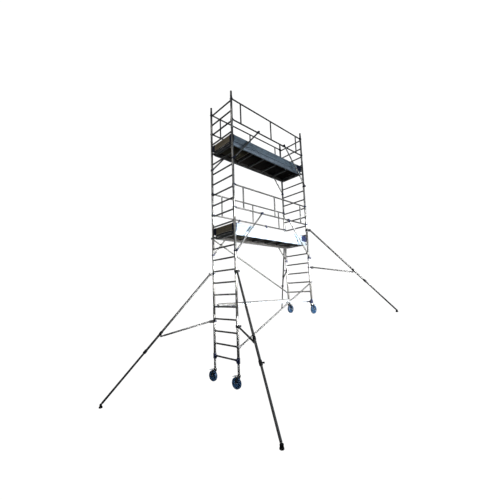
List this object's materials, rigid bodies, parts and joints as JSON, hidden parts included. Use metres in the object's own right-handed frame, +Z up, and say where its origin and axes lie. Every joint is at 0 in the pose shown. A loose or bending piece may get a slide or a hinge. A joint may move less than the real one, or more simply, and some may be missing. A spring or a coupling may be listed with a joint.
{
  "type": "mobile tower scaffold",
  "caption": "Narrow aluminium mobile scaffold tower with ladder end frames, trapdoor decks, guardrails, telescopic outriggers and castors, standing on two ground levels.",
  "frame": {"origin": "on the lower ground, under the centre of the box that the four outrigger feet span", "axes": "+Z up; +X along the bay from the low end to the high end; +Y across the tower"},
  "size_m": [6.0821, 4.1426, 6.24],
  "materials": {
    "tube_aluminium": "satin mill finish",
    "deck_aluminium": "satin extrusion",
    "deck_plywood": "film-faced plywood",
    "toe_board_wood": "sealed board",
    "navy_plastic": "moulded",
    "zinc_steel": "zinc plated",
    "castor_steel": "dark coated steel",
    "castor_tyre": "navy tyre on a moulded hub",
    "foot_rubber": "matt"
  },
  "bodies": {
    "tower": {"base_deck_frame": "deck_aluminium", "base_deck_panel": "deck_plywood", "brace_clamps": "navy_plastic", "corner_castings": "navy_plastic", "deck_hooks": "navy_plastic", "diagonal_hooks": "zinc_steel", "far_lower_frame": "tube_aluminium", "far_top_frame": "tube_aluminium", "far_upper_frame": "tube_aluminium", "guardrail_braces": "tube_aluminium", "guardrail_claws": "navy_plastic", "interlock_clips": "zinc_steel", "long_diagonals": "tube_aluminium", "lower_deck_frame": "deck_aluminium", "lower_deck_panel": "deck_plywood", "lower_guardrails": "tube_aluminium", "lower_toe_boards": "toe_board_wood", "near_base_frame": "tube_aluminium", "near_lower_frame": "tube_aluminium", "near_top_frame": "tube_aluminium", "near_upper_frame": "tube_aluminium", "toe_board_corners": "navy_plastic", "upper_deck_frame": "deck_aluminium", "upper_deck_panel": "deck_plywood", "upper_guardrails": "tube_aluminium", "upper_toe_boards": "toe_board_wood"},
    "lower_hatch": {"lower_hatch": "deck_plywood"},
    "upper_hatch": {"upper_hatch": "deck_plywood"},
    "near_left_outrigger": {"near_left_outrigger_tube": "tube_aluminium", "near_left_outrigger_strut": "tube_aluminium"},
    "near_left_outrigger_inner": {"near_left_outrigger_inner": "tube_aluminium"},
    "near_left_outrigger_foot": {"near_left_outrigger_foot": "foot_rubber"},
    "near_right_outrigger": {"near_right_outrigger_tube": "tube_aluminium", "near_right_outrigger_strut": "tube_aluminium"},
    "near_right_outrigger_inner": {"near_right_outrigger_inner": "tube_aluminium"},
    "near_right_outrigger_foot": {"near_right_outrigger_foot": "foot_rubber"},
    "far_left_outrigger": {"far_left_outrigger_tube": "tube_aluminium", "far_left_outrigger_strut": "tube_aluminium"},
    "far_left_outrigger_inner": {"far_left_outrigger_inner": "tube_aluminium"},
    "far_left_outrigger_foot": {"far_left_outrigger_foot": "foot_rubber"},
    "far_right_outrigger": {"far_right_outrigger_tube": "tube_aluminium", "far_right_outrigger_strut": "tube_aluminium"},
    "far_right_outrigger_inner": {"far_right_outrigger_inner": "tube_aluminium"},
    "far_right_outrigger_foot": {"far_right_outrigger_foot": "foot_rubber"},
    "near_left_castor_leg": {"near_left_castor_leg": "tube_aluminium"},
    "near_left_castor_fork": {"near_left_castor_fork": "castor_steel"},
    "near_left_castor_wheel": {"near_left_castor_wheel": "castor_tyre"},
    "near_left_castor_pedal": {"near_left_castor_pedal": "castor_steel"},
    "near_right_castor_leg": {"near_right_castor_leg": "tube_aluminium"},
    "near_right_castor_fork": {"near_right_castor_fork": "castor_steel"},
    "near_right_castor_wheel": {"near_right_castor_wheel": "castor_tyre"},
    "near_right_castor_pedal": {"near_right_castor_pedal": "castor_steel"},
    "far_left_castor_leg": {"far_left_castor_leg": "tube_aluminium"},
    "far_left_castor_fork": {"far_left_castor_fork": "castor_steel"},
    "far_left_castor_wheel": {"far_left_castor_wheel": "castor_tyre"},
    "far_left_castor_pedal": {"far_left_castor_pedal": "castor_steel"},
    "far_right_castor_leg": {"far_right_castor_leg": "tube_aluminium"},
    "far_right_castor_fork": {"far_right_castor_fork": "castor_steel"},
    "far_right_castor_wheel": {"far_right_castor_wheel": "castor_tyre"},
    "far_right_castor_pedal": {"far_right_castor_pedal": "castor_steel"}
  },
  "joints": [
    {"name": "lower_hatch_hinge", "type": "hinge", "parent": "tower", "child": "lower_hatch", "pos_m": [-0.81502, 0.4593, 3.0913], "axis": [-1, 0, 0], "range_deg": [0, 90]},
    {"name": "upper_hatch_hinge", "type": "hinge", "parent": "tower", "child": "upper_hatch", "pos_m": [-0.81502, 0.4593, 5.0913], "axis": [-1, 0, 0], "range_deg": [0, 90]},
    {"name": "near_left_outrigger_swing", "type": "hinge", "parent": "tower", "child": "near_left_outrigger", "pos_m": [-0.94502, 0.5743, 2.222], "axis": [0, 0, 1], "range_deg": [-50, 30]},
    {"name": "near_left_outrigger_extend", "type": "slide", "parent": "near_left_outrigger", "child": "near_left_outrigger_inner", "axis": [-0.6695, 0.1144, -0.7339], "range_m": [0, 0.4]},
    {"name": "near_left_outrigger_foot_tilt", "type": "hinge", "parent": "near_left_outrigger_inner", "child": "near_left_outrigger_foot", "pos_m": [-3.00514, 0.92644, 0.05], "axis": [-0.1685, -0.9857, 0], "range_deg": [-15, 15]},
    {"name": "near_right_outrigger_swing", "type": "hinge", "parent": "tower", "child": "near_right_outrigger", "pos_m": [-0.94502, -0.1807, 2.222], "axis": [0, 0, 1], "range_deg": [-30, 50]},
    {"name": "near_right_outrigger_extend", "type": "slide", "parent": "near_right_outrigger", "child": "near_right_outrigger_inner", "axis": [-0.3136, -0.6025, -0.7339], "range_m": [0, 0.4]},
    {"name": "near_right_outrigger_foot_tilt", "type": "hinge", "parent": "near_right_outrigger_inner", "child": "near_right_outrigger_foot", "pos_m": [-1.91007, -2.03456, 0.05], "axis": [0.887, -0.4617, 0], "range_deg": [-15, 15]},
    {"name": "far_left_outrigger_swing", "type": "hinge", "parent": "tower", "child": "far_left_outrigger", "pos_m": [1.59498, 0.5743, 3.4], "axis": [0, 0, 1], "range_deg": [-40, 45]},
    {"name": "far_left_outrigger_extend", "type": "slide", "parent": "far_left_outrigger", "child": "far_left_outrigger_inner", "axis": [0.4667, 0.4833, -0.7407], "range_m": [0, 0.4]},
    {"name": "far_left_outrigger_foot_tilt", "type": "hinge", "parent": "far_left_outrigger_inner", "child": "far_left_outrigger_foot", "pos_m": [3.00514, 2.03456, 1.25], "axis": [-0.7193, 0.6947, 0], "range_deg": [-15, 15]},
    {"name": "far_right_outrigger_swing", "type": "hinge", "parent": "tower", "child": "far_right_outrigger", "pos_m": [1.59498, -0.1807, 3.4], "axis": [0, 0, 1], "range_deg": [-45, 40]},
    {"name": "far_right_outrigger_extend", "type": "slide", "parent": "far_right_outrigger", "child": "far_right_outrigger_inner", "axis": [0.3811, -0.5463, -0.7459], "range_m": [0, 0.4]},
    {"name": "far_right_outrigger_foot_tilt", "type": "hinge", "parent": "far_right_outrigger_inner", "child": "far_right_outrigger_foot", "pos_m": [2.73927, -1.82101, 1.25], "axis": [0.8202, 0.5721, 0], "range_deg": [-15, 15]},
    {"name": "near_left_castor_leg_slide", "type": "slide", "parent": "tower", "child": "near_left_castor_leg", "axis": [0, 0, -1], "range_m": [0, 0.2]},
    {"name": "near_left_castor_swivel", "type": "hinge", "parent": "near_left_castor_leg", "child": "near_left_castor_fork", "pos_m": [-0.94502, 0.5743, 0.2457], "axis": [0, 0, 1], "continuous": true},
    {"name": "near_left_castor_wheel_spin", "type": "hinge", "parent": "near_left_castor_fork", "child": "near_left_castor_wheel", "pos_m": [-0.95365, 0.63569, 0.11], "axis": [-0.9903, -0.1392, 0], "continuous": true},
    {"name": "near_left_castor_brake", "type": "hinge", "parent": "near_left_castor_fork", "child": "near_left_castor_pedal", "pos_m": [-0.95142, 0.61985, 0.226], "axis": [-0.9903, -0.1392, 0], "range_deg": [0, 7]},
    {"name": "near_right_castor_leg_slide", "type": "slide", "parent": "tower", "child": "near_right_castor_leg", "axis": [0, 0, -1], "range_m": [0, 0.2]},
    {"name": "near_right_castor_swivel", "type": "hinge", "parent": "near_right_castor_leg", "child": "near_right_castor_fork", "pos_m": [-0.94502, -0.1807, 0.2457], "axis": [0, 0, 1], "continuous": true},
    {"name": "near_right_castor_wheel_spin", "type": "hinge", "parent": "near_right_castor_fork", "child": "near_right_castor_wheel", "pos_m": [-0.95365, -0.11931, 0.11], "axis": [-0.9903, -0.1392, 0], "continuous": true},
    {"name": "near_right_castor_brake", "type": "hinge", "parent": "near_right_castor_fork", "child": "near_right_castor_pedal", "pos_m": [-0.95142, -0.13515, 0.226], "axis": [-0.9903, -0.1392, 0], "range_deg": [0, 7]},
    {"name": "far_left_castor_leg_slide", "type": "slide", "parent": "tower", "child": "far_left_castor_leg", "axis": [0, 0, -1], "range_m": [0, 0.2]},
    {"name": "far_left_castor_swivel", "type": "hinge", "parent": "far_left_castor_leg", "child": "far_left_castor_fork", "pos_m": [1.59498, 0.5743, 1.4457], "axis": [0, 0, 1], "continuous": true},
    {"name": "far_left_castor_wheel_spin", "type": "hinge", "parent": "far_left_castor_fork", "child": "far_left_castor_wheel", "pos_m": [1.65698, 0.5743, 1.31], "axis": [0, 1, 0], "continuous": true},
    {"name": "far_left_castor_brake", "type": "hinge", "parent": "far_left_castor_fork", "child": "far_left_castor_pedal", "pos_m": [1.64098, 0.5743, 1.426], "axis": [0, 1, 0], "range_deg": [0, 7]},
    {"name": "far_right_castor_leg_slide", "type": "slide", "parent": "tower", "child": "far_right_castor_leg", "axis": [0, 0, -1], "range_m": [0, 0.2]},
    {"name": "far_right_castor_swivel", "type": "hinge", "parent": "far_right_castor_leg", "child": "far_right_castor_fork", "pos_m": [1.59498, -0.1807, 1.4457], "axis": [0, 0, 1], "continuous": true},
    {"name": "far_right_castor_wheel_spin", "type": "hinge", "parent": "far_right_castor_fork", "child": "far_right_castor_wheel", "pos_m": [1.65698, -0.1807, 1.31], "axis": [0, 1, 0], "continuous": true},
    {"name": "far_right_castor_brake", "type": "hinge", "parent": "far_right_castor_fork", "child": "far_right_castor_pedal", "pos_m": [1.64098, -0.1807, 1.426], "axis": [0, 1, 0], "range_deg": [0, 7]}
  ]
}
